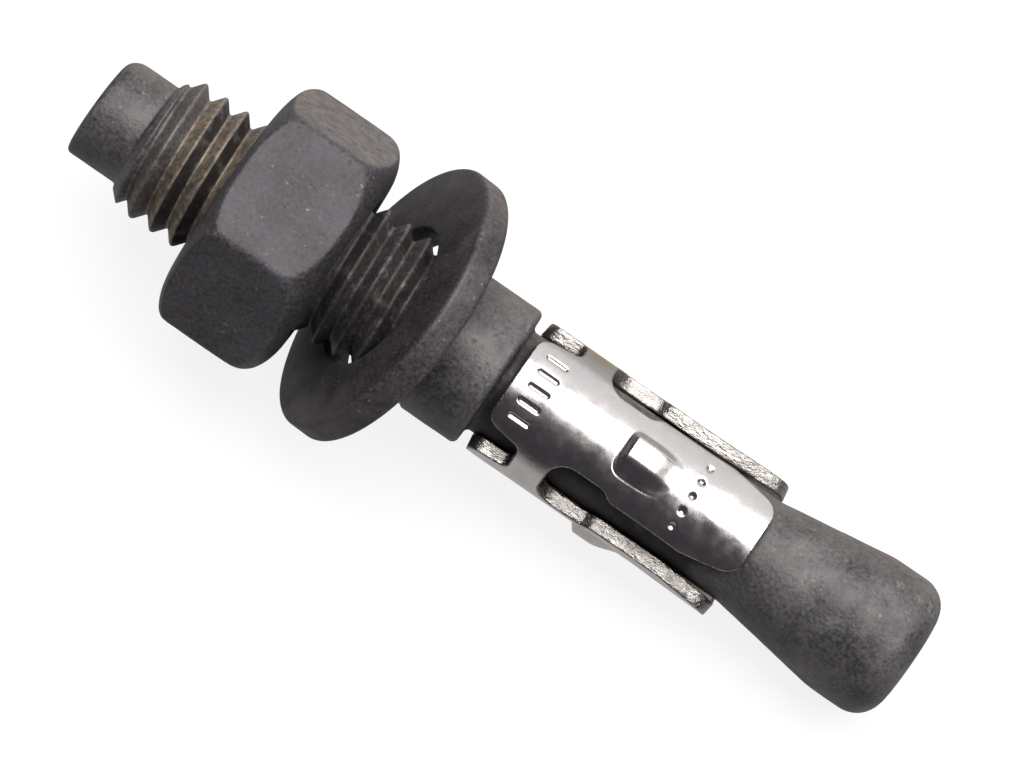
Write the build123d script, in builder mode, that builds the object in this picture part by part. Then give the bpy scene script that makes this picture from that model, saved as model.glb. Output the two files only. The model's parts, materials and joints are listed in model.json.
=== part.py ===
"""Wedge anchor, M8 x 50: a one-piece stud, its hexagon nut and washer, and the rolled expansion clip.

The anchor lies as it comes to rest, on the washer's rim and the cone end, so the stud slopes down from
the nut to the cone. Lengths along the stud are measured from the stub's end face, in millimetres.
"""

import os
from math import acos, asin, atan2, cos, hypot, pi, radians, sin, tan

from build123d import *

# Stud, from the stub's end face to the cone's tip
stud_length = 50.0
stub_d = 5.82
stub_length = 2.95
stub_edge = 0.35
thread_d = 7.1  # pitch cylinder of the M8 x 1.25 thread, which is rolled up from a blank of this size
thread_length = 17.95
shoulder_d = 8.05
shoulder_run_out = 0.45
shoulder_end = 24.6
shoulder_edge = 0.25
neck_d = 6.0
cone_start = 40.0
cone_slope = 8.65  # degrees between the cone's side and the axis
cone_d = 7.9
cone_blend = 0.8
cone_edge = 1.6
cone_dome = 0.25

# Hexagon nut, 13 mm across flats
nut_across_flats = 13.0
nut_height = 6.75
nut_start = 7.85
nut_corner = 1.0
nut_chamfer_d = 12.1
nut_chamfer_slope = 30.0
nut_running_gap = 0.05
nut_countersink = 0.55
nut_turned = 37.6  # degrees from upright to a corner

# Plain washer, tilted on the thread until the edges of its hole bind
washer_d = 16.0
washer_thickness = 1.6
washer_bore = 8.4
washer_edge = 0.25
washer_at = 18.04
washer_bind_gap = 0.02

# Expansion clip, a strip rolled round the neck: leaves joined by a narrow ring, tabs ahead of it
leaf_count = 3
leaf_turned = 3.0  # degrees from upright to the middle of the first leaf
clip_start = 25.15
clip_length = 14.8
clip_sheet = 0.8
clip_neck_gap = 0.06
tail_lift = 0.12
tail_lift_length = 4.5
tab_length = 2.23  # from the clip's front edge to the ring
tab_corner = 0.8
ring_width = 1.95
notch_root_w = 1.75
notch_mouth_w = 2.6
notch_corner = 0.3
slot_belly_w = 3.22
slot_belly_length = 2.75
slot_belly_corner = 1.1
slot_throat_w = 2.46
slot_waist_w = 2.36
slot_mouth_w = 4.0
slot_mouth_length = 3.0
slot_mouth_ease = 1.1
slot_shoulder = 0.55
leaf_corner = 1.1
seam_w = 0.7
dimple_at = 6.45  # from the clip's front edge to the dimple's steep front
dimple_length = 2.6
dimple_steep = 0.3
dimple_flat = 1.45
dimple_spread = 33.0  # degrees round the clip
dimple_height = 0.5
dimple_edge = 0.22
dimple_wall = 0.45
nub_back = 2.4  # from the nub's ridge to the clip's tail
nub_rise = 0.7
nub_fall = 0.45
nub_spread = 30.0
nub_height = 0.28

# The washer's tilt: its hole, seen along the stud, is then as high as the thread plus a gap each side
bore_diagonal = hypot(washer_bore, washer_thickness)
bind_height = thread_d + 2 * washer_bind_gap
washer_tilt = acos(bind_height / bore_diagonal) - atan2(washer_thickness, washer_bore)

# The slope at rest: the floor touches the eased rim of the washer and the rounded edge of the cone
rim_reach = washer_d / 2
rim_back = washer_thickness / 2 - washer_edge
rim_x = washer_at - rim_reach * sin(washer_tilt) + rim_back * cos(washer_tilt)
rim_drop = rim_reach * cos(washer_tilt) + rim_back * sin(washer_tilt)
heel_x = stud_length - cone_dome - cone_edge
heel_drop = cone_d / 2 - cone_edge
contact_span = hypot(heel_x - rim_x, rim_drop - heel_drop)
slope = atan2(rim_drop - heel_drop, heel_x - rim_x) - asin(cone_edge / contact_span)

# Directions in space: along the stud towards the cone, upright from it, and sideways
along = Vector(cos(slope), 0, -sin(slope))
upright = Vector(sin(slope), 0, cos(slope))
sideways = Vector(0, 1, 0)
overall_x = stud_length * cos(slope)
stub_end = Vector(
    -overall_x / 2,
    0,
    heel_x * sin(slope) + heel_drop * cos(slope) + cone_edge,
)
stud_axis = Axis(stub_end, along)


def outward(angle):
    """The direction away from the axis, turned by an angle from upright towards sideways."""
    return upright * cos(radians(angle)) + sideways * sin(radians(angle))


def across(x):
    """The plane square to the axis at a distance x from the stub's end: X sideways, Y upright."""
    return Plane(stub_end + along * x, x_dir=sideways, z_dir=along)


def lengthwise(angle):
    """The plane through the axis whose X runs along the stud and whose Y points outward."""
    return Plane(stub_end, x_dir=along, z_dir=along.cross(outward(angle)))


def facing(angle):
    """The plane on the axis that looks outward, with its X along the stud."""
    return Plane(stub_end, x_dir=along, z_dir=outward(angle))


# Stud: one piece, headed and rolled from bar. A plain stub takes the hammer, the thread and shoulder
# fill the hole in the fixture, the neck carries the clip, and the cone spreads it.
stub_r = stub_d / 2
thread_r = thread_d / 2
shoulder_r = shoulder_d / 2
neck_r = neck_d / 2
cone_r = cone_d / 2
thread_end = stub_length + thread_length
shoulder_start = thread_end + shoulder_run_out
cone_angle = radians(cone_slope)
blend_start = cone_start + (cone_r - neck_r) / tan(cone_angle) - cone_blend

with BuildPart() as stud:
    with BuildSketch(lengthwise(0)):
        with BuildLine():
            shank = Polyline(
                (0, 0),
                (0, stub_r - stub_edge),
                (stub_edge, stub_r),
                (stub_length, stub_r),
                (stub_length, thread_r),
                (thread_end, thread_r),
                (shoulder_start, shoulder_r),
                (shoulder_end - shoulder_edge, shoulder_r),
                (shoulder_end, shoulder_r - shoulder_edge),
                (shoulder_end, neck_r),
                (cone_start, neck_r),
                (blend_start, cone_r - cone_blend * tan(cone_angle)),
            )
            blend = Spline(
                shank @ 1,
                (blend_start + 2 * cone_blend, cone_r),
                tangents=[(1, tan(cone_angle)), (1, 0)],
            )
            land = Line(blend @ 1, (stud_length - cone_dome - cone_edge, cone_r))
            cone_round = TangentArc(
                land @ 1,
                (stud_length - cone_dome, cone_r - cone_edge),
                tangent=(1, 0),
            )
            TangentArc((stud_length, 0), cone_round @ 1, tangent=(0, 1))
            Line((stud_length, 0), shank @ 0)
        make_face()
    revolve(axis=stud_axis)
stud.part.label = "stud"


# Hexagon nut: forged with rounded corners, chamfered on both faces, and run on to the pitch cylinder
# of the stud's thread with a running gap.
nut_bore_r = thread_r + nut_running_gap
nut_corner_r = nut_across_flats / 2 / cos(pi / 6)
chamfer_r = nut_chamfer_d / 2
chamfer_depth = (nut_corner_r - chamfer_r) * tan(radians(nut_chamfer_slope))
nut_end = nut_start + nut_height

with BuildPart() as hex_nut:
    with BuildSketch(across(nut_start)):
        RegularPolygon(nut_across_flats / 2, 6, major_radius=False, rotation=90 - nut_turned)
    extrude(amount=nut_height)
    fillet(hex_nut.edges().filter_by(stud_axis), nut_corner)
    with BuildSketch(lengthwise(0)):
        with BuildLine():
            Polyline(
                (nut_start, 0),
                (nut_start, chamfer_r),
                (nut_start + chamfer_depth, nut_corner_r),
                (nut_end - chamfer_depth, nut_corner_r),
                (nut_end, chamfer_r),
                (nut_end, 0),
                close=True,
            )
        make_face()
    revolve(axis=stud_axis, mode=Mode.INTERSECT)
    with BuildSketch(lengthwise(0)):
        with BuildLine():
            Polyline(
                (nut_start, 0),
                (nut_start, nut_bore_r + nut_countersink),
                (nut_start + nut_countersink, nut_bore_r),
                (nut_end - nut_countersink, nut_bore_r),
                (nut_end, nut_bore_r + nut_countersink),
                (nut_end, 0),
                close=True,
            )
        make_face()
    revolve(axis=stud_axis, mode=Mode.SUBTRACT)
hex_nut.part.label = "hex_nut"


# Washer: stamped ring with its rim eased, leaning back over the shoulder.
washer_plane = Plane(
    stub_end + along * washer_at,
    x_dir=sideways,
    z_dir=along * cos(washer_tilt) - upright * sin(washer_tilt),
)

with BuildPart() as washer:
    with BuildSketch(washer_plane):
        Circle(washer_d / 2)
        Circle(washer_bore / 2, mode=Mode.SUBTRACT)
    extrude(amount=washer_thickness / 2, both=True)
    rims = washer.edges().filter_by(GeomType.CIRCLE).group_by(lambda edge: edge.radius)[-1]
    chamfer(rims, washer_edge)
washer.part.label = "washer"


# Expansion clip: a stainless strip, notched and embossed flat and then rolled round the neck, so that
# its ends meet in an open seam. The leaves behind the ring spread when the cone is pulled into them.
clip_inner_r = neck_r + clip_neck_gap
clip_outer_r = clip_inner_r + clip_sheet
clip_end = clip_start + clip_length
lift_start = clip_end - tail_lift_length
ring_front = clip_start + tab_length
ring_back = ring_front + ring_width
belly_end = ring_back + slot_belly_length
throat_start = belly_end + slot_shoulder
mouth_start = clip_end - slot_mouth_length
past_end = clip_sheet  # how far each cut runs out of the strip
clip_middle_r = (clip_inner_r + clip_outer_r) / 2
dimple_front = clip_start + dimple_at
dimple_back = dimple_front + dimple_length
dimple_top = clip_outer_r + dimple_height
dimple_hollow_spread = dimple_spread - 2 * dimple_wall / clip_middle_r * 180 / pi
nub_ridge = clip_end - nub_back
tail_outer_r = clip_outer_r + tail_lift * (nub_ridge - lift_start) / tail_lift_length
leaf_pitch = 360 / leaf_count
leaf_angles = [leaf_turned + leaf_pitch * n for n in range(leaf_count)]
gap_angles = [angle + leaf_pitch / 2 for angle in leaf_angles]
seam_angle = gap_angles[leaf_count // 2]


def cut_out(angle, points, radii):
    """Cut an opening through the strip's wall at an angle, drawn as half its outline from the middle."""
    with BuildSketch(facing(angle)) as opening:
        with BuildLine():
            FilletPolyline(*points, radius=radii)
            mirror(about=Plane.XZ)
        make_face()
    extrude(opening.sketch, amount=clip_outer_r + tail_lift + past_end, mode=Mode.SUBTRACT)


def press_out(angle, spread, section, end_edge=0, mode=Mode.ADD):
    """Raise or hollow a pressed form: a section turned through part of a circle, its ends eased if asked."""
    with BuildPart() as form:
        with BuildSketch(lengthwise(angle + spread / 2)) as outline:
            with BuildLine():
                Polyline(*section, close=True)
            make_face()
        revolve(outline.sketch, axis=stud_axis, revolution_arc=spread)
        if end_edge:
            flats = form.faces().filter_by(GeomType.PLANE)
            ends = flats.filter_by(lambda face: abs(face.normal_at().dot(along)) < 0.5)
            fillet(ends.edges(), end_edge)
    add(form.part, mode=mode)


with BuildPart() as expansion_clip:
    # the rolled strip, with its tail sprung slightly off the neck
    with BuildSketch(lengthwise(0)):
        with BuildLine():
            Polyline(
                (clip_start, clip_inner_r),
                (lift_start, clip_inner_r),
                (clip_end, clip_inner_r + tail_lift),
                (clip_end, clip_outer_r + tail_lift),
                (lift_start, clip_outer_r),
                (clip_start, clip_outer_r),
                close=True,
            )
        make_face()
    revolve(axis=stud_axis)
    for angle in gap_angles:
        # the notch between two tabs, ahead of the ring
        cut_out(
            angle,
            [
                (ring_front, 0),
                (ring_front, notch_root_w / 2),
                (clip_start - past_end, notch_mouth_w / 2),
                (clip_start - past_end, 0),
            ],
            [notch_corner, 0],
        )
        # the slot between two leaves, behind the ring
        cut_out(
            angle,
            [
                (ring_back, 0),
                (ring_back, slot_belly_w / 2),
                (belly_end, slot_belly_w / 2),
                (throat_start, slot_throat_w / 2),
                (mouth_start, slot_waist_w / 2),
                (clip_end + past_end, slot_mouth_w / 2),
                (clip_end + past_end, 0),
            ],
            [slot_belly_corner, slot_shoulder, slot_shoulder, slot_mouth_ease, 0],
        )
    corners = expansion_clip.edges().filter_by(GeomType.LINE).group_by(stud_axis)
    fillet(corners[0], tab_corner)
    corners = expansion_clip.edges().filter_by(GeomType.LINE).group_by(stud_axis)
    fillet(corners[-1], leaf_corner)
    # the open seam, where the two ends of the strip meet in the ring
    cut_out(
        seam_angle,
        [
            (ring_front - past_end, 0),
            (ring_front - past_end, seam_w / 2),
            (ring_back + past_end, seam_w / 2),
            (ring_back + past_end, 0),
        ],
        [0, 0],
    )
    for angle in leaf_angles:
        # the dimple that grips the wall of the hole: steep in front, fading to the tail, hollow inside
        press_out(
            angle,
            dimple_spread,
            [
                (dimple_front, clip_middle_r),
                (dimple_front + dimple_steep, dimple_top),
                (dimple_front + dimple_flat, dimple_top),
                (dimple_back, clip_outer_r),
                (dimple_back, clip_middle_r),
            ],
            end_edge=dimple_edge,
        )
        press_out(
            angle,
            dimple_hollow_spread,
            [
                (dimple_front + dimple_wall, clip_inner_r - dimple_wall),
                (dimple_front + dimple_wall + dimple_steep, dimple_top - clip_sheet),
                (dimple_front + dimple_flat, dimple_top - clip_sheet),
                (dimple_back - dimple_wall, clip_inner_r),
                (dimple_back - dimple_wall, clip_inner_r - dimple_wall),
            ],
            mode=Mode.SUBTRACT,
        )
        # the nub that keeps the tail of the leaf off the wall while the anchor is driven in
        press_out(
            angle,
            nub_spread,
            [
                (nub_ridge - nub_rise, clip_middle_r),
                (nub_ridge - nub_rise, tail_outer_r),
                (nub_ridge, tail_outer_r + nub_height),
                (nub_ridge + nub_fall, tail_outer_r),
                (nub_ridge + nub_fall, clip_middle_r),
            ],
        )
expansion_clip.part.label = "expansion_clip"

os.makedirs("parts", exist_ok=True)
export_step(stud.part, "parts/stud.step")
export_step(hex_nut.part, "parts/hex_nut.step")
export_step(washer.part, "parts/washer.step")
export_step(expansion_clip.part, "parts/expansion_clip.step")
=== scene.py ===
"""Wedge anchor lying at rest: threaded stud, hexagon nut, leaning washer and bright expansion clip.

Each piece is drawn in millimetres on the stud's own axis, x from the stub's end face towards the cone,
y sideways and z upright from the axis, and is then laid down on the frame in metres.
"""

import json
from math import acos, asin, atan2, cos, hypot, pi, radians, sin, sqrt, tan

import bmesh
import bpy
from mathutils import Matrix, Vector, geometry, noise
from mathutils.kdtree import KDTree


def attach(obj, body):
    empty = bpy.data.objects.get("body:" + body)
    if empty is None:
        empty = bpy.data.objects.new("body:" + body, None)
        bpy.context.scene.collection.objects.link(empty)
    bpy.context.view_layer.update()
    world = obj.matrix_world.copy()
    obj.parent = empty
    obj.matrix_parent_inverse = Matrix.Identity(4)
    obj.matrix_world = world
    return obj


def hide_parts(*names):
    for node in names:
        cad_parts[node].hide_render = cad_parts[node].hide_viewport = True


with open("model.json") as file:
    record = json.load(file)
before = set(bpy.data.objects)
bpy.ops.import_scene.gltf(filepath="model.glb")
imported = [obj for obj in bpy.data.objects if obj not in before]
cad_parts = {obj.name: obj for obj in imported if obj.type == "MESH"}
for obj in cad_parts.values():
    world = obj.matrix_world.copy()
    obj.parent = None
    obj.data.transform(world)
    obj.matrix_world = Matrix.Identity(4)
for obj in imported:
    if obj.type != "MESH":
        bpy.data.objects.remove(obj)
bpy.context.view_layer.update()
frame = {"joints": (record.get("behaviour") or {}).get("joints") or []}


# --- Stud -------------------------------------------------------------------------------------------
# One piece of cold-headed steel: a plain stub to take the hammer, a rolled thread, a shoulder, a thin
# neck for the clip and the cone that spreads it. Mechanically galvanised after rolling.
stud_length = 50.0
stub_r = 2.91
stub_length = 2.95
stub_edge = 0.25
stub_roll_over = 0.4  # how much more its edge is rounded on the side that y points to
stub_roll_over_length = 0.9
stub_dish = 0.06
stub_skew = 0.06
thread_pitch = 1.25
thread_crest_r = 3.9
thread_root_r = 3.29
thread_first_crest = 3.95  # along the stud, on the side that y points to
thread_end = 20.75
thread_run_out = 0.9
thread_run_out_rise = 0.9  # how far the cut rises out of the blank for each millimetre of it
thread_unevenness = 0.06
thread_entry_r = 3.2
shoulder_start = 21.35
shoulder_r = 4.02
shoulder_end = 24.6
shoulder_edge = 0.35
neck_r = 2.98
cone_start = 40.0
cone_slope = radians(8.65)
cone_r = 3.94
cone_edge = 1.6
cone_dome = 0.25
cone_end = 49.93
nut_middle = 11.225  # along the stud, where the frame keeps the nut's pivot
stud_steps = 144
stud_thread_grain = 0.0625  # longest run between rows, a twentieth of the pitch
stud_plain_grain = 0.2

joints = {joint["name"]: joint for joint in frame["joints"]}
along = Vector(joints["nut_turn"]["axis"]).normalized()
sideways = Vector((0, 1, 0))
upright = along.cross(sideways)
stub_end = Vector(joints["nut_turn"]["pos_m"]) - along * nut_middle / 1000
lay_down = Matrix.Translation(stub_end) @ Matrix((along, sideways, upright)).transposed().to_4x4()
lay_down = lay_down @ Matrix.Scale(1 / 1000, 4)


def rounded(points, steps=6):
    """An outline with its corners rounded: each point is (x, r) or (x, r, radius of the corner)."""
    outline = []
    for i, point in enumerate(points):
        here = Vector(point[:2])
        radius = point[2] if len(point) > 2 else 0
        if not radius:
            outline.append(tuple(here))
            continue
        back = (Vector(points[i - 1][:2]) - here).normalized()
        ahead = (Vector(points[(i + 1) % len(points)][:2]) - here).normalized()
        half = acos(max(-1, min(1, back.dot(ahead)))) / 2
        reach = radius / tan(half)
        middle = here + (back + ahead).normalized() * radius / sin(half)
        start, end = here + back * reach - middle, here + ahead * reach - middle
        swing = start.angle_signed(end)
        for k in range(steps + 1):
            turn = -swing * k / steps
            spoke_x = start.x * cos(turn) - start.y * sin(turn)
            spoke_r = start.x * sin(turn) + start.y * cos(turn)
            outline.append(tuple(middle + Vector((spoke_x, spoke_r))))
    return outline


def divided(outline, longest):
    """The outline with its long runs divided, so that no run is longer than a given length."""
    fine = [outline[0]]
    for (x0, r0), (x1, r1) in zip(outline, outline[1:]):
        runs = max(1, round(hypot(x1 - x0, r1 - r0) / longest + 0.49))
        fine += [(x0 + (x1 - x0) * k / runs, r0 + (r1 - r0) * k / runs) for k in range(1, runs + 1)]
    return fine


def turned(name, outline, angles, ring=False, trim=None):
    """A piece turned on the lathe from an outline of (x, r); a ring's outline closes on itself."""
    bm = bmesh.new()
    rows = []
    for x, r in outline:
        if r < 1e-6:
            rows.append([bm.verts.new((x, 0, 0))] * len(angles))
            continue
        radii = [trim(x, r, angle) if trim else r for angle in angles]
        rows.append([bm.verts.new((x, cos(a) * t, sin(a) * t)) for a, t in zip(angles, radii)])
    pairs = list(zip(rows, rows[1:])) + ([(rows[-1], rows[0])] if ring else [])
    for row, following in pairs:
        for j in range(len(angles)):
            k = (j + 1) % len(angles)
            corners = list(dict.fromkeys([row[j], row[k], following[k], following[j]]))
            bm.faces.new(corners)
    bmesh.ops.recalc_face_normals(bm, faces=bm.faces)
    for face in bm.faces:
        face.smooth = True
    mesh = bpy.data.meshes.new(name)
    bm.to_mesh(mesh)
    bm.free()
    piece = bpy.data.objects.new(name, mesh)
    bpy.context.scene.collection.objects.link(piece)
    return piece


def add_node(tree, kind, inputs=(), **settings):
    """Add a node with its settings; inputs maps each socket to a value or to another node's output."""
    node = tree.nodes.new(kind)
    for name, value in settings.items():
        setattr(node, name, value)
    for socket, value in dict(inputs).items():
        if isinstance(value, bpy.types.NodeSocket):
            tree.links.new(value, node.inputs[socket])
        else:
            node.inputs[socket].default_value = value
    return node


def linear(code):
    """A colour written as sRGB hex, in the linear values that the shaders take."""
    parts = [int(code[i : i + 2], 16) / 255 for i in (1, 3, 5)]
    return [c / 12.92 if c <= 0.04045 else ((c + 0.055) / 1.055) ** 2.4 for c in parts] + [1.0]


def galvanised_steel(name, light, dark, metallic=0.6, cloudy=0.55, painted_edge_and_groove_light=0.0, zones=()):
    """Mechanically galvanised steel: a tumbled zinc coat, dull and mottled, with stray bright specks.

    Each zone is a stain or a band of painted shade between two places along the stud: start and end in
    millimetres, colour, share, the size of its patches in millimetres, the level of noise above which they
    lie, and which flanks of the thread it keeps to: -1 for those that face the stub, 1 for the cone, 0 for all.
    """
    material = bpy.data.materials.new(name)
    material.use_nodes = True
    tree = material.node_tree
    shader = tree.nodes["Principled BSDF"]
    place = add_node(tree, "ShaderNodeTexCoord").outputs["Object"]

    def mottle(size_mm, detail=4.0, roughness=0.55):
        inputs = {"Vector": place, "Scale": 1000 / size_mm, "Detail": detail, "Roughness": roughness}
        return add_node(tree, "ShaderNodeTexNoise", inputs).outputs["Fac"]

    def ranged(value, low, high, start=0.0, end=1.0):
        inputs = {"Value": value, "From Min": low, "From Max": high, "To Min": start, "To Max": end}
        return add_node(tree, "ShaderNodeMapRange", inputs).outputs["Result"]

    def mixed(share, first, second):
        node = add_node(tree, "ShaderNodeMix", {0: share, 6: first, 7: second}, data_type="RGBA")
        return node.outputs[2]

    def math(operation, first, second=0.0):
        return add_node(tree, "ShaderNodeMath", {0: first, 1: second}, operation=operation).outputs[0]

    def towards(direction, vector):
        node = add_node(tree, "ShaderNodeVectorMath", {0: vector, 1: direction}, operation="DOT_PRODUCT")
        return node.outputs["Value"]

    # clouds of thinner and thicker zinc, two to three millimetres across, with a gritty grain over them
    clouds = ranged(mottle(2.2, 6.0, 0.62), 0.36, 0.64)
    grain = ranged(mottle(0.2, 2.0, 0.6), 0.34, 0.66)
    share = math("ADD", math("MULTIPLY", clouds, cloudy), math("MULTIPLY", grain, 1 - cloudy))
    colour = mixed(share, linear(dark), linear(light))
    # dark pits and pale rubbed specks, a few tenths of a millimetre across
    colour = mixed(ranged(mottle(0.55, 3.0, 0.6), 0.6, 0.74, 0.0, 0.6), colour, linear("#2a2827"))
    colour = mixed(ranged(mottle(0.3, 2.0, 0.5), 0.68, 0.78, 0.0, 0.6), colour, linear("#a39e99"))
    # high edges are lightened, a painted highlight over real rubbing, and the grooves are darkened with painted
    # shade over dirt
    if painted_edge_and_groove_light:
        edges = add_node(tree, "ShaderNodeNewGeometry").outputs["Pointiness"]
        edge_highlight_and_wear = math("MULTIPLY", ranged(edges, 0.52, 0.62, 0.0, painted_edge_and_groove_light), grain)
        colour = mixed(edge_highlight_and_wear, colour, linear("#b0a89f"))
        colour = mixed(ranged(edges, 0.4, 0.48, painted_edge_and_groove_light, 0.0), colour, linear("#1f1c1b"))
    along_stud = towards(along, place)
    faces = add_node(tree, "ShaderNodeTexCoord").outputs["Normal"]
    facing = towards(along, faces)
    for start, end, tint, most, patch_mm, level, flank in zones:
        middle = stub_end.dot(along) + (start + end) / 2000
        off = math("ABSOLUTE", math("SUBTRACT", along_stud, middle))
        inside = ranged(off, (end - start) / 2000 - 0.0003, (end - start) / 2000 + 0.0003, most, 0.0)
        patchy = ranged(mottle(patch_mm, 5.0, 0.65), level - 0.06, level + 0.06)
        if flank:
            turned_to = math("MULTIPLY", facing, flank)
            patchy = math("MULTIPLY", patchy, ranged(turned_to, flank * 0.3 - 0.1, flank * 0.3 + 0.2))
        colour = mixed(math("MULTIPLY", inside, patchy), colour, linear(tint))
    # painted light: the side that y points to is lightened with a mottled pale brown, standing for warm light
    # falling on it
    painted_light_side = ranged(towards(sideways, faces), 0.6, 0.94, 0.0, 0.8)
    painted_light_share = math("MULTIPLY", painted_light_side, ranged(mottle(0.5, 5.0, 0.7), 0.36, 0.62, 0.3, 1.0))
    colour = mixed(painted_light_share, colour, linear("#938b85"))
    tree.links.new(colour, shader.inputs["Base Color"])
    shader.inputs["Metallic"].default_value = metallic
    tree.links.new(ranged(grain, 0.0, 1.0, 0.48, 0.66), shader.inputs["Roughness"])
    relief = math("ADD", mottle(0.18, 3.0, 0.7), math("MULTIPLY", mottle(0.9, 3.0), 2.2))
    bump = add_node(tree, "ShaderNodeBump", {"Strength": 0.7, "Distance": 0.00004, "Height": relief})
    tree.links.new(bump.outputs["Normal"], shader.inputs["Normal"])
    return material


def thread_tree():
    """Node tree that cuts a helical thread into a turned piece, from outside or inside."""
    tree = bpy.data.node_groups.new("helical_thread", "GeometryNodeTree")
    tree.interface.new_socket("Geometry", in_out="INPUT", socket_type="NodeSocketGeometry")
    profile = ("Pitch", "Crest", "Root", "First crest", "Run-out start", "Run-out rise")
    for name in profile + ("Clearance", "Unevenness"):
        tree.interface.new_socket(name, in_out="INPUT", socket_type="NodeSocketFloat")
    tree.interface.new_socket("Inside", in_out="INPUT", socket_type="NodeSocketBool")
    tree.interface.new_socket("Finish", in_out="INPUT", socket_type="NodeSocketMaterial")
    tree.interface.new_socket("Geometry", in_out="OUTPUT", socket_type="NodeSocketGeometry")
    given = add_node(tree, "NodeGroupInput").outputs
    position = add_node(tree, "GeometryNodeInputPosition").outputs[0]
    x, y, z = add_node(tree, "ShaderNodeSeparateXYZ", {0: position}).outputs

    def math(operation, first, second=0.0, third=0.0):
        inputs = {0: first, 1: second, 2: third}
        return add_node(tree, "ShaderNodeMath", inputs, operation=operation).outputs[0]

    turn = math("DIVIDE", math("ARCTAN2", z, y), 2 * pi)
    past_crest = math("SUBTRACT", x, given["First crest"])
    count = math("SUBTRACT", math("DIVIDE", past_crest, given["Pitch"]), turn)
    height = math("ABSOLUTE", math("MULTIPLY_ADD", math("FRACT", count), 2.0, -1.0))
    inputs = {"Value": height, "From Min": 0.1, "From Max": 0.88}
    inputs.update({"To Min": given["Root"], "To Max": given["Crest"]})
    flank = add_node(tree, "ShaderNodeMapRange", inputs, clamp=False).outputs["Result"]
    flank = math("SMOOTH_MIN", math("SMOOTH_MAX", flank, given["Root"], 0.06), given["Crest"], 0.14)
    past = math("MAXIMUM", math("SUBTRACT", x, given["Run-out start"]), 0.0)
    flank = math("ADD", math("MULTIPLY_ADD", past, given["Run-out rise"], flank), given["Clearance"])
    radius = math("SQRT", math("ADD", math("MULTIPLY", y, y), math("MULTIPLY", z, z)))
    outside, inside = math("MINIMUM", radius, flank), math("MAXIMUM", radius, flank)
    inputs = {"Switch": given["Inside"], "False": outside, "True": inside}
    cut = add_node(tree, "GeometryNodeSwitch", inputs, input_type="FLOAT").outputs[0]
    inputs = {"Vector": position, "Scale": 0.7, "Detail": 3.0}
    rough = add_node(tree, "ShaderNodeTexNoise", inputs).outputs[0]
    cut = math("MULTIPLY_ADD", math("SUBTRACT", rough, 0.5), given["Unevenness"], cut)
    share = math("DIVIDE", cut, math("MAXIMUM", radius, 0.001))
    inputs = {0: x, 1: math("MULTIPLY", y, share), 2: math("MULTIPLY", z, share)}
    moved = add_node(tree, "ShaderNodeCombineXYZ", inputs).outputs[0]
    inputs = {"Geometry": given["Geometry"], "Position": moved}
    shape = add_node(tree, "GeometryNodeSetPosition", inputs)
    shape = add_node(tree, "GeometryNodeRealizeInstances", {"Geometry": shape.outputs[0]})
    inputs = {"Geometry": shape.outputs[0], "Material": given["Finish"]}
    shape = add_node(tree, "GeometryNodeSetMaterial", inputs)
    add_node(tree, "NodeGroupOutput", {0: shape.outputs[0]})
    return tree


def shaped(piece, tree, **values):
    """Run a node tree on a piece with the given inputs and keep the result as a plain mesh."""
    modifier = piece.modifiers.new(tree.name, "NODES")
    modifier.node_group = tree
    for item in tree.interface.items_tree:
        key = item.name.lower().replace(" ", "_").replace("-", "_")
        if item.in_out == "INPUT" and key in values:
            modifier[item.identifier] = values[key]
    bpy.context.view_layer.update()
    mesh = bpy.data.meshes.new_from_object(piece.evaluated_get(bpy.context.evaluated_depsgraph_get()))
    piece.modifiers.remove(modifier)
    piece.data = mesh
    return piece


def laid_down(piece, pose=lay_down):
    """Put a finished piece in its place on the frame, through its mesh."""
    piece.data.transform(pose)
    return piece


around = [2 * pi * k / stud_steps for k in range(stud_steps)]
cone_run = (cone_r - neck_r) / tan(cone_slope)
stud_outline = rounded(
    [
        (stub_dish, 0),
        (0.02, stub_r * 0.6),
        (0, stub_r, stub_edge),
        (stub_length, stub_r, 0.15),
        (stub_length + 0.12, thread_entry_r),
        (stub_length + 0.12 + thread_crest_r - thread_entry_r, thread_crest_r, 0.1),
        (shoulder_start - 0.2, thread_crest_r, 0.1),
        (shoulder_start, shoulder_r, 0.1),
        (shoulder_end, shoulder_r, shoulder_edge),
        (shoulder_end + 0.05, neck_r, 0.25),
        (cone_start, neck_r, 3.0),
        (cone_start + cone_run, cone_r, 5.0),
        (cone_end - cone_dome, cone_r, cone_edge),
        (cone_end - cone_dome * 0.3, 1.3, 3.0),
        (cone_end, 0),
    ],
    steps=10,
)
threaded_rows = [point for point in stud_outline if point[0] < shoulder_start]
plain_rows = [point for point in stud_outline if point[0] >= shoulder_start]
stud_rows = divided(threaded_rows, stud_thread_grain)
stud_rows += divided([threaded_rows[-1]] + plain_rows, stud_plain_grain)[1:]
stud_body = turned("stud_body", stud_rows, around)
thread_cutter = thread_tree()
stains_and_painted_shade = [
    (4.4, 8.2, "#867c6d", 0.75, 1.3, 0.4, -1),  # dry rust bloom on all but the flanks that face the cone
    (4.4, 8.2, "#aea28f", 0.6, 0.4, 0.5, -1),
    (3.4, 8.2, "#57514a", 0.65, 0.5, 0.56, 0),
    (3.8, 8.2, "#8a5a34", 0.6, 0.4, 0.62, 0),
    (5.0, 8.2, "#262221", 0.75, 0.8, 0.43, 1),
    (14.6, 21.0, "#2b2928", 0.7, 0.9, 0.42, 0),  # painted shade on the thread between the nut and the washer
    (14.6, 20.6, "#7a5a30", 0.6, 0.45, 0.65, 0),
    (24.7, 38.0, "#1d1816", 0.7, 1.5, 0.36, 0),  # painted shade on the neck under the clip
]
stud_finish = galvanised_steel("galvanised_steel_stud", "#828080", "#444244", painted_edge_and_groove_light=0.4, zones=stains_and_painted_shade)
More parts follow.
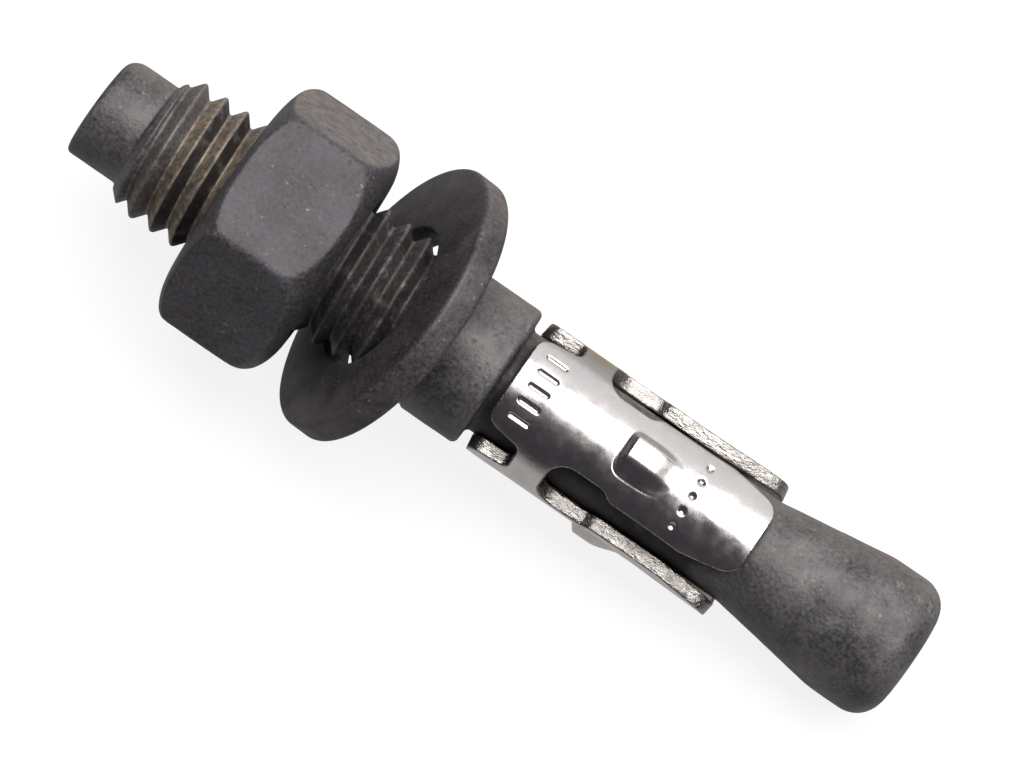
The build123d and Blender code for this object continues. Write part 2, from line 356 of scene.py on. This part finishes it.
shaped(
    stud_body,
    thread_cutter,
    pitch=thread_pitch,
    crest=thread_crest_r,
    root=thread_root_r,
    first_crest=thread_first_crest,
    run_out_start=thread_end - thread_run_out,
    run_out_rise=thread_run_out_rise,
    clearance=0.0,
    unevenness=thread_unevenness,
    inside=False,
    finish=stud_finish,
)
for vertex in stud_body.data.vertices:
    # the stub's end was sheared a little askew, and rolled over where the blade came in
    x, y, z = vertex.co
    share = 0.5 + y / stub_r / 2
    vertex.co.x += 2 * stub_skew * share * max(0.0, 1 - x / stub_length)
    drawn_in = 1 - stub_roll_over * share * max(0.0, 1 - x / stub_roll_over_length) ** 2 / stub_r
    vertex.co.yz = y * drawn_in, z * drawn_in
laid_down(stud_body)
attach(stud_body, "stud")
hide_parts("stud")


# --- Hexagon nut ------------------------------------------------------------------------------------
# Cold-forged steel nut, 13 mm across flats, its corners and chamfers softened by tumbling in zinc.
# It is run on to the thread, in mesh with it.
nut_flat = 6.39  # from the axis to a flat
nut_start = 7.86
nut_end = 14.59
nut_corner = 0.6
nut_off_axis = -0.07  # sideways, by the play of its thread
nut_corner_at = radians(90 - 37.6)  # a corner's angle from sideways towards upright
nut_land_r = 4.95  # radius of the flat land on each face
nut_roll_over_r = 2.36  # how far out from it the face curves, and over what length, at each end
nut_roll_over = (1.3, 1.75)
nut_roll_power = 1.8
nut_soft = 0.12  # easing where that curve meets the flats
nut_side_from = 4.8  # outside this radius its outline is trimmed
nut_bore_r = 3.42
nut_countersink_r = 4.15
nut_countersink = 0.72
nut_blank_r = 7.6  # turned to this size before the hexagon is trimmed from it
nut_grain = 0.09
nut_play = 0.07
nut_unevenness = 0.05


def nut_side(angle):
    """The hexagon's distance from the axis at an angle, its corners rounded."""
    off_corner = abs((angle - nut_corner_at + pi / 6) % (pi / 3) - pi / 6)
    corner_at = (nut_flat - nut_corner) / cos(pi / 6)
    tangent_at = pi / 6 - atan2((nut_flat - nut_corner) * tan(pi / 6), nut_flat)
    if off_corner < tangent_at:
        return corner_at * cos(off_corner) + sqrt(nut_corner**2 - (corner_at * sin(off_corner)) ** 2)
    return nut_flat / cos(pi / 6 - off_corner)


def soft_least(a, b, blend):
    """The lesser of two radii, with the edge where they cross eased over."""
    overlap = max(blend - abs(a - b), 0) / blend
    return min(a, b) - overlap * overlap * blend / 4


def nut_trim(x, r, angle):
    """The nut's radius: the hexagon, cut back by the chamfer cones at both faces."""
    if r < nut_side_from:
        return r
    side = nut_side(angle)
    for from_face, length in zip((x - nut_start, nut_end - x), nut_roll_over):
        left = 1 - min(1.0, max(0.0, from_face / length))
        curved = nut_land_r + nut_roll_over_r * (1 - left**nut_roll_power) ** (1 / nut_roll_power)
        side = soft_least(side, curved + max(0.0, from_face / length - 1) * 9, nut_soft)
    return min(r, side)


nut_angles = []
for corner in range(6):
    first = nut_corner_at + corner * pi / 3
    nut_angles += [first + radians(step) for step in (-4, -3, -2, -1, 0, 1, 2, 3, 4)]
    nut_angles += [first + radians(4 + 52 * k / 26) for k in range(1, 26)]
nut_angles.sort()
nut_outline = divided(
    rounded(
        [
            (nut_start + nut_countersink, nut_bore_r),
            (nut_start, nut_countersink_r, 0.12),
            (nut_start, nut_side_from, 0.02),
            (nut_start + 0.04, nut_blank_r),
            (nut_end - 0.04, nut_blank_r),
            (nut_end, nut_side_from, 0.02),
            (nut_end, nut_countersink_r, 0.12),
            (nut_end - nut_countersink, nut_bore_r),
        ]
    ),
    nut_grain,
)
nut_outline += divided([nut_outline[-1], nut_outline[0]], nut_grain)[1:-1]
nut_body = turned("hex_nut_body", nut_outline, nut_angles, ring=True, trim=nut_trim)
shaped(
    nut_body,
    thread_cutter,
    pitch=thread_pitch,
    crest=thread_crest_r,
    root=thread_root_r,
    first_crest=thread_first_crest,
    run_out_start=stud_length,
    run_out_rise=0.0,
    clearance=nut_play,
    unevenness=nut_unevenness,
    inside=True,
    finish=galvanised_steel("galvanised_steel_nut", "#656368", "#393639", metallic=0.45, cloudy=0.3),
)
laid_down(nut_body, lay_down @ Matrix.Translation((0, nut_off_axis, 0)))
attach(nut_body, "nut")
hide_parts("hex_nut")


# --- Washer -----------------------------------------------------------------------------------------
# Stamped steel ring, its rim rounded by the press and softened by tumbling. It hangs on the thread and
# leans until the edges of its hole sit in two grooves.
washer_r = 7.94
washer_thickness = 1.58
washer_bore_r = 4.2
washer_rim_edge = 0.28
washer_bore_edge = 0.14
washer_at = 18.04
washer_tilt = radians(22.6)
washer_off_axis = 0.05  # sideways, by the play in its hole
washer_grain = 0.25
washer_wobble = 0.03  # how far it is out of flat

washer_half = washer_thickness / 2
washer_outline = divided(
    rounded(
        [
            (-washer_half, washer_bore_r, washer_bore_edge),
            (-washer_half, washer_r, washer_rim_edge),
            (washer_half, washer_r, washer_rim_edge),
            (washer_half, washer_bore_r, washer_bore_edge),
        ]
    ),
    washer_grain,
)
washer_body = turned("washer_body", washer_outline, around, ring=True)
for vertex in washer_body.data.vertices:
    vertex.co.x += noise.noise(vertex.co * 0.35) * washer_wobble
washer_finish = galvanised_steel("galvanised_steel_washer", "#686468", "#353236", painted_edge_and_groove_light=0.2)
washer_body.data.materials.append(washer_finish)
lean = Matrix.Translation((washer_at, washer_off_axis, 0)) @ Matrix.Rotation(washer_tilt, 4, "Y")
laid_down(washer_body, lay_down @ lean)
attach(washer_body, "washer")
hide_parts("washer")


# --- Expansion clip -----------------------------------------------------------------------------------
# Stainless strip, blanked flat with three leaves and three tabs, pressed with a dimple and a nub on each
# leaf and rolled round the neck, where it turns freely. The strip is bright-rolled, its edges sheared.
leaf_count = 3
leaf_middle = radians(3)  # from upright to the middle of the leaf on top
clip_start = 25.15
clip_end = 39.95
clip_sheet = 0.78
clip_edge = 0.08  # how far its sheared edges are rounded
clip_lean = 0.05  # how far they lean outwards through the sheet, each way from its middle
clip_outer_r = 3.88
tail_lift = 0.12
tail_lift_start = 35.45
ring_front = 27.38
ring_back = 29.33
belly_end = 32.08
throat_start = 32.63
mouth_start = 36.95
notch_mouth_w, notch_root_w, notch_corner = 2.4, 1.75, 0.4
slot_belly_w, slot_throat_w, slot_waist_w, slot_tail_w = 3.22, 2.46, 2.36, 3.65
slot_belly_corner, slot_shoulder, slot_mouth_ease = 1.1, 0.7, 1.2
tab_corner, leaf_corner, ring_corner = 0.95, 1.15, 0.1
seam_w = 0.7
clip_grain = 0.12  # spacing of the points in the strip's skin
clip_fine_grain = 0.06  # and where it is pressed
dimple_at, dimple_ahead, dimple_behind, dimple_height = 32.5, 0.87, 2.45, 0.46
dimple_half_w = 1.28
dimple_off = 0.09
dimple_walls = (0.48, 1.95, 1.1, 0.6)  # how far it slopes: ahead, behind and on either side
crease_depth, crease_w = 0.035, 0.07  # pressed round its front and one side
nub_ridge, nub_rise, nub_fall, nub_height = 37.6, 0.9, 0.8, 0.1
nub_half_w = 1.1
nub_off = -0.45
clip_unevenness = 0.02
mark_depth = 0.13
mark_lines = (-1.8, -0.9, 0.0, 0.9, 1.8)  # across the top leaf, for its bars and for its dots
bar_from, bar_to, bar_half_w = 26.1, 27.1, 0.2
dot_at, dot_r = 35.9, 0.3


def half_gap(width):
    """Half the width of a cut, as a distance along the strip's outer skin once it is rolled."""
    return asin(width / 2 / clip_outer_r) * clip_outer_r


def eased(value, low, high):
    """A smooth step from 0 at low to 1 at high, either way round."""
    share = max(0.0, min(1.0, (value - low) / (high - low)))
    return share * share * (3 - 2 * share)


leaf_pitch_w = 2 * pi / leaf_count * clip_outer_r
strip_corners = []
for leaf in range(leaf_count):
    middle = (leaf + 0.5) * leaf_pitch_w
    for side in (-1, 1):
        edge = middle + side * leaf_pitch_w / 2
        at_seam = (leaf, side) in ((0, -1), (leaf_count - 1, 1))
        front = [(clip_start, edge - side * half_gap(notch_mouth_w), tab_corner)]
        if at_seam:
            front += [
                (ring_front, edge - side * half_gap(notch_root_w), notch_corner),
                (ring_front, edge - side * seam_w / 2, ring_corner),
            ]
        else:
            front += [(ring_front, edge - side * half_gap(notch_root_w), notch_corner)]
        strip_corners += front[::-1] if side < 0 else front
for leaf in reversed(range(leaf_count)):
    middle = (leaf + 0.5) * leaf_pitch_w
    for side in (1, -1):
        edge = middle + side * leaf_pitch_w / 2
        at_seam = (leaf, side) in ((0, -1), (leaf_count - 1, 1))
        back = [
            (ring_back, edge - side * half_gap(slot_belly_w), slot_belly_corner),
            (belly_end, edge - side * half_gap(slot_belly_w), slot_shoulder),
            (throat_start, edge - side * half_gap(slot_throat_w), slot_shoulder),
            (mouth_start, edge - side * half_gap(slot_waist_w), slot_mouth_ease),
            (clip_end, edge - side * half_gap(slot_tail_w), leaf_corner),
        ]
        if at_seam:
            back = [(ring_back, edge - side * seam_w / 2, ring_corner)] + back
        strip_corners += back if side > 0 else back[::-1]
strip_outline = rounded(strip_corners, steps=8)
strip_edge = divided(strip_outline + [strip_outline[0]], clip_grain)[:-1]


def strip_height(x, across):
    """How far the strip's outer skin stands off its plain radius: the lifted tail and what is pressed."""
    height = tail_lift * max(0.0, x - tail_lift_start) / (clip_end - tail_lift_start)
    off_middle = ((across / leaf_pitch_w) % 1 - 0.5) * leaf_pitch_w
    run = (x - dimple_at) / (dimple_ahead if x < dimple_at else dimple_behind)
    side = (off_middle - dimple_off) / dimple_half_w
    away = (abs(run) ** 3 + abs(side) ** 3) ** (1 / 3)
    from_foot = (
        x - dimple_at + dimple_ahead,
        dimple_at + dimple_behind - x,
        off_middle - dimple_off + dimple_half_w,
        dimple_off + dimple_half_w - off_middle,
    )
    short = [1 - max(0.0, min(1.0, reach / wall)) for reach, wall in zip(from_foot, dimple_walls)]
    height += dimple_height * eased(hypot(*short), 1, 0)
    creased = eased(run, 0.9, 0.4) * eased(side, 0.8, 0.2)
    height -= crease_depth * eased(abs(away - 1 - crease_w), crease_w, 0) * creased
    ramp = eased(x, nub_ridge - nub_rise, nub_ridge) * eased(x, nub_ridge + nub_fall, nub_ridge)
    height += nub_height * (ramp * eased(abs(off_middle - nub_off), nub_half_w, 0))
    if int(across / leaf_pitch_w) == leaf_count // 2:
        height -= mark_depth * stamped(x, off_middle)
    return height + clip_unevenness * noise.noise(Vector((x, across, 0)) * 0.7)


def stamped(x, across):
    """An even hatch and an even row of dots stamped in the top leaf: 1 in their bottoms, 0 outside them."""
    depth = 0.0
    for line in mark_lines:
        off_bar = hypot(across - line, max(bar_from - x, 0, x - bar_to))
        off_dot = hypot(x - dot_at, across - line)
        depth = max(depth, eased(off_bar, bar_half_w, 0), eased(off_dot, dot_r, 0))
    return depth


strip_turn = 1 if sum(x * b - a * y for (x, y), (a, b) in zip(strip_edge, strip_edge[1:])) > 0 else -1
skin_edge, strip_out = [], []  # the skin's own outline, and at each point the way out of the strip
for i, here in enumerate(strip_edge):
    run = Vector(strip_edge[(i + 1) % len(strip_edge)]) - Vector(strip_edge[i - 1])
    strip_out.append(Vector((run.y, -run.x)).normalized() * strip_turn)
    skin_edge.append(Vector(here) - strip_out[-1] * (clip_edge + clip_lean))
edge_tree = KDTree(len(skin_edge))
for i, here in enumerate(skin_edge):
    edge_tree.insert((*here, 0), i)
edge_tree.balance()
skin_points = list(skin_edge)
# where the strip is pressed: x from, to and how far from a leaf's middle, on all leaves or on the top one
fine_fields = [(31.35, 35.05, 1.7), (36.8, 38.2, 1.7)]
fine_fields_on_top = [(25.4, 28.0, 3.4), (34.9, 36.5, 3.4)]
strip_w = leaf_count * leaf_pitch_w


def in_fine_field(x, across):
    """Whether a point of the strip lies where it is pressed, and so is drawn finely."""
    leaf = int(across / leaf_pitch_w)
    off_middle = abs(across - (leaf + 0.5) * leaf_pitch_w)
    fields = fine_fields + (fine_fields_on_top if leaf == leaf_count // 2 else [])
    return any(start < x < end and off_middle < half_w for start, end, half_w in fields)


for grain, fine in ((clip_grain, False), (clip_fine_grain, True)):
    for i in range(int((clip_end - clip_start) / grain)):
        for j in range(int(strip_w / grain)):
            point = (clip_start + (i + 0.5) * grain, (j + 0.5) * grain)
            if in_fine_field(*point) == fine and edge_tree.find((*point, 0))[2] > clip_grain * 0.55:
                skin_points.append(Vector(point))
skin = geometry.delaunay_2d_cdt(skin_points, [], [list(range(len(skin_edge)))], 1, 1e-6)
skin_points, skin_faces = skin[0], skin[2]
seam_at = leaf_middle - pi / leaf_count - 2 * pi / leaf_count * (leaf_count // 2)


def rolled(x, across, depth=0.0):
    """A point of the flat strip, at a depth below its outer skin, after rolling."""
    angle = seam_at + across / clip_outer_r
    r = clip_outer_r + strip_height(x, across) - depth
    return (x, r * sin(angle), r * cos(angle))


clip_points = [rolled(*point) for point in skin_points]
clip_points += [rolled(*point, clip_sheet) for point in skin_points]
clip_faces = [tuple(face) for face in skin_faces]
clip_faces += [tuple(i + len(skin_points) for i in reversed(face)) for face in skin_faces]
skin_face_count = len(clip_faces)
first_of = {source: i for i, sources in enumerate(skin[3]) for source in sources}
outer_row = [first_of[i] for i in range(len(skin_edge))]
rounding = [(1 - sin(radians(turn)), 1 - cos(radians(turn))) for turn in (30, 60, 90)]
edge_rows = [(clip_edge * back + clip_lean, clip_edge * down) for back, down in rounding]
edge_rows += [(clip_lean * (1 - 2 * share), clip_sheet * share) for share in (0.25, 0.42, 0.58, 0.75)]
edge_rows += [
    (clip_edge * back - clip_lean, clip_sheet - clip_edge * down) for back, down in rounding[::-1]
]
edge_rows += [(clip_edge - clip_lean, clip_sheet)]
row = outer_row
for back, down in edge_rows:
    below = range(len(clip_points), len(clip_points) + len(strip_edge))
    for here, out in zip(strip_edge, strip_out):
        clip_points.append(rolled(*(Vector(here) - out * back), down))
    clip_faces += [(row[i], row[i - 1], below[i - 1], below[i]) for i in range(len(row))]
    row = below
inner_row = [i + len(skin_points) for i in outer_row]
clip_faces += [(row[i], row[i - 1], inner_row[i - 1], inner_row[i]) for i in range(len(row))]
clip_mesh = bpy.data.meshes.new("expansion_clip_body")
clip_mesh.from_pydata(clip_points, [], clip_faces)
bm = bmesh.new()
bm.from_mesh(clip_mesh)
bmesh.ops.recalc_face_normals(bm, faces=bm.faces)
bm.to_mesh(clip_mesh)
bm.free()
for i, polygon in enumerate(clip_mesh.polygons):
    polygon.use_smooth = True
    polygon.material_index = 0 if i < skin_face_count else 1
clip_body = bpy.data.objects.new("expansion_clip_body", clip_mesh)
bpy.context.scene.collection.objects.link(clip_body)


def stainless(name, light, dark, roughness, waves, grit_mm, grit_height, drawn=1.0, painted_reflection=None):
    """Bright stainless: mirror-like where the mill's rolls pressed it, torn and grainy where sheared.

    drawn is how many times longer its grit is along the stud, and painted_reflection is a patch of painted
    warm reflection: its place, its reach in millimetres and its colour.
    """
    material = bpy.data.materials.new(name)
    material.use_nodes = True
    tree = material.node_tree
    shader = tree.nodes["Principled BSDF"]
    place = add_node(tree, "ShaderNodeTexCoord").outputs["Object"]
    inputs = {"Vector": place, "Scale": (1 / drawn, 1, 1)}
    drawn_out = add_node(tree, "ShaderNodeMapping", inputs).outputs[0]

    def mottle(size_mm, detail):
        inputs = {"Vector": drawn_out, "Scale": 1000 / size_mm, "Detail": detail, "Roughness": 0.6}
        return add_node(tree, "ShaderNodeTexNoise", inputs).outputs["Fac"]

    # patches of haze, duller and darker, a little under a millimetre across
    haze = mottle(0.8, 4.0)
    inputs = {"Value": haze, "From Min": 0.35, "From Max": 0.65}
    inputs.update({"To Min": roughness * 0.8, "To Max": roughness * 1.25})
    dull = add_node(tree, "ShaderNodeMapRange", inputs).outputs["Result"]
    tree.links.new(dull, shader.inputs["Roughness"])
    inputs = {0: haze, 6: linear(light), 7: linear(dark)}
    tint = add_node(tree, "ShaderNodeMix", inputs, data_type="RGBA").outputs[2]
    # painted reflection: the metal is tinted warm near one place
    if painted_reflection:
        where, reach_mm, brown = painted_reflection
        inputs = {0: place, 1: lay_down @ Vector(where)}
        off = add_node(tree, "ShaderNodeVectorMath", inputs, operation="DISTANCE")
        inputs = {"Value": off.outputs["Value"], "From Min": reach_mm / 1000, "From Max": 0.0}
        near = add_node(tree, "ShaderNodeMapRange", inputs, interpolation_type="SMOOTHSTEP")
        inputs = {0: near.outputs["Result"], 6: tint, 7: linear(brown)}
        tint = add_node(tree, "ShaderNodeMix", inputs, data_type="RGBA").outputs[2]
    tree.links.new(tint, shader.inputs["Base Color"])
    shader.inputs["Metallic"].default_value = 1.0
    # shallow waves from rolling, under the grit
    inputs = {"Strength": 1.0, "Distance": waves / 1000, "Height": mottle(1.1, 2.0)}
    wavy = add_node(tree, "ShaderNodeBump", inputs).outputs["Normal"]
    inputs = {"Strength": 1.0, "Distance": grit_height / 1000, "Height": mottle(grit_mm, 3.0)}
    gritty = add_node(tree, "ShaderNodeBump", {**inputs, "Normal": wavy}).outputs["Normal"]
    tree.links.new(gritty, shader.inputs["Normal"])
    return material


# a painted warm reflection on the side of the clip's ring that y points to
painted_warm_reflection = ((28.3, 3.85, 0.9), 2.1, "#b59c6e")
rolled_finish = stainless(
    "bright_rolled_stainless", "#e2dedb", "#c4bfc1", roughness=0.26, waves=0.02, grit_mm=0.4, grit_height=0.004,
    painted_reflection=painted_warm_reflection,
)
sheared_finish = stainless(
    "sheared_stainless_edge", "#d2cdc9", "#3f3b39", roughness=0.27, waves=0.06, grit_mm=0.17, grit_height=0.075,
    drawn=2.4,
)
clip_mesh.materials.append(rolled_finish)
clip_mesh.materials.append(sheared_finish)
laid_down(clip_body)
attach(clip_body, "clip")
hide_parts("expansion_clip")


# --- Floor, lamps and camera ------------------------------------------------------------------------
# A plain white table top, one large soft lamp above and behind, a weak one in front, and a dim room.
picture_width = 51.82  # millimetres of the anchor that fill the width of the picture
camera_distance = 0.3
camera_swing = radians(6.4)  # how far the camera stands from upright, away from y
camera_roll = radians(34.6)
aim_at = (25.29, 0.15)  # along the stud and sideways, in the middle of the picture

floor_size = 6.0
floor_mesh = bpy.data.meshes.new("floor")
half_floor = floor_size / 2
floor_corners = [(half_floor * x, half_floor * y, 0) for x, y in ((-1, -1), (1, -1), (1, 1), (-1, 1))]
floor_mesh.from_pydata(floor_corners, [], [(0, 1, 2, 3)])
table_top = bpy.data.objects.new("floor", floor_mesh)
bpy.context.scene.collection.objects.link(table_top)
white_laminate = bpy.data.materials.new("white_laminate")
white_laminate.use_nodes = True
tree = white_laminate.node_tree
tree.nodes.remove(tree.nodes["Principled BSDF"])
ray = add_node(tree, "ShaderNodeLightPath").outputs
inputs = {0: ray["Is Camera Ray"], 1: ray["Is Transmission Ray"]}
seen = add_node(tree, "ShaderNodeMath", inputs, operation="MAXIMUM")
matt = add_node(tree, "ShaderNodeBsdfDiffuse", {"Color": (0.62, 0.62, 0.62, 1)}).outputs[0]
glow = add_node(tree, "ShaderNodeEmission", {"Color": (1, 1, 1, 1), "Strength": 0.86}).outputs[0]
shaded = add_node(tree, "ShaderNodeBsdfDiffuse", {"Color": (0.22, 0.22, 0.22, 1)}).outputs[0]
backdrop = add_node(tree, "ShaderNodeAddShader", {0: glow, 1: shaded}).outputs[0]
mirrored = add_node(tree, "ShaderNodeEmission", {"Color": (1, 0.98, 0.96, 1), "Strength": 0.5}).outputs[0]
surface = add_node(tree, "ShaderNodeMixShader", {0: ray["Is Glossy Ray"], 1: matt, 2: mirrored}).outputs[0]
surface = add_node(tree, "ShaderNodeMixShader", {0: seen.outputs[0], 1: surface, 2: backdrop}).outputs[0]
tree.links.new(surface, tree.nodes["Material Output"].inputs["Surface"])
floor_mesh.materials.append(white_laminate)

world = bpy.data.worlds.new("dim_room")
bpy.context.scene.world = world
world.use_nodes = True
world.node_tree.nodes["Background"].inputs["Color"].default_value = (0.82, 0.76, 0.92, 1)
world.node_tree.nodes["Background"].inputs["Strength"].default_value = 0.06

target = lay_down @ Vector((aim_at[0], 0, 0))
view = cos(camera_swing) * upright - sin(camera_swing) * sideways
across = view.cross(along)
target += across * aim_at[1] / 1000
picture_right = cos(camera_roll) * along + sin(camera_roll) * across
picture_up = -sin(camera_roll) * along + cos(camera_roll) * across


def facing_anchor(place, right, up):
    """The matrix of a camera or lamp at a place, looking along its own -z."""
    matrix = Matrix((right, up, right.cross(up))).transposed().to_4x4()
    return Matrix.Translation(place) @ matrix


def soft_lamp(name, towards, distance, size, watts, colour=(1, 1, 1)):
    """A soft box that faces the anchor from a direction given as (along, across, towards the camera)."""
    direction = (along * towards[0] + across * towards[1] + view * towards[2]).normalized()
    lamp = bpy.data.lights.new(name, "AREA")
    lamp.shape = "RECTANGLE"
    lamp.size, lamp.size_y = size
    lamp.energy = watts
    lamp.color = colour
    holder = bpy.data.objects.new(name, lamp)
    right = along.cross(direction).cross(direction).normalized() * -1
    holder.matrix_world = facing_anchor(target + direction * distance, right, direction.cross(right))
    bpy.context.scene.collection.objects.link(holder)
    return holder


key_swing = radians(28)  # from the camera's line of sight, towards the far side
side_swing = radians(75)
lamp_distance = 0.4
key_from = (0.0, sin(key_swing), cos(key_swing))
side_from = (0.0, sin(side_swing), cos(side_swing))
soft_lamp("key_soft_box", key_from, lamp_distance, (0.6, 0.27), 2.5, (1, 0.98, 0.955))
soft_lamp("side_soft_box", side_from, lamp_distance, (0.6, 0.35), 0.6)

camera = bpy.data.cameras.new("camera")
camera.sensor_width = 36.0
camera.lens = camera.sensor_width * camera_distance * 1000 / picture_width
camera.clip_start = 0.01
eye = bpy.data.objects.new("camera", camera)
eye.matrix_world = facing_anchor(target + view * camera_distance, picture_right, picture_up)
bpy.context.scene.collection.objects.link(eye)
bpy.context.scene.camera = eye
bpy.context.scene.view_settings.view_transform = "Standard"
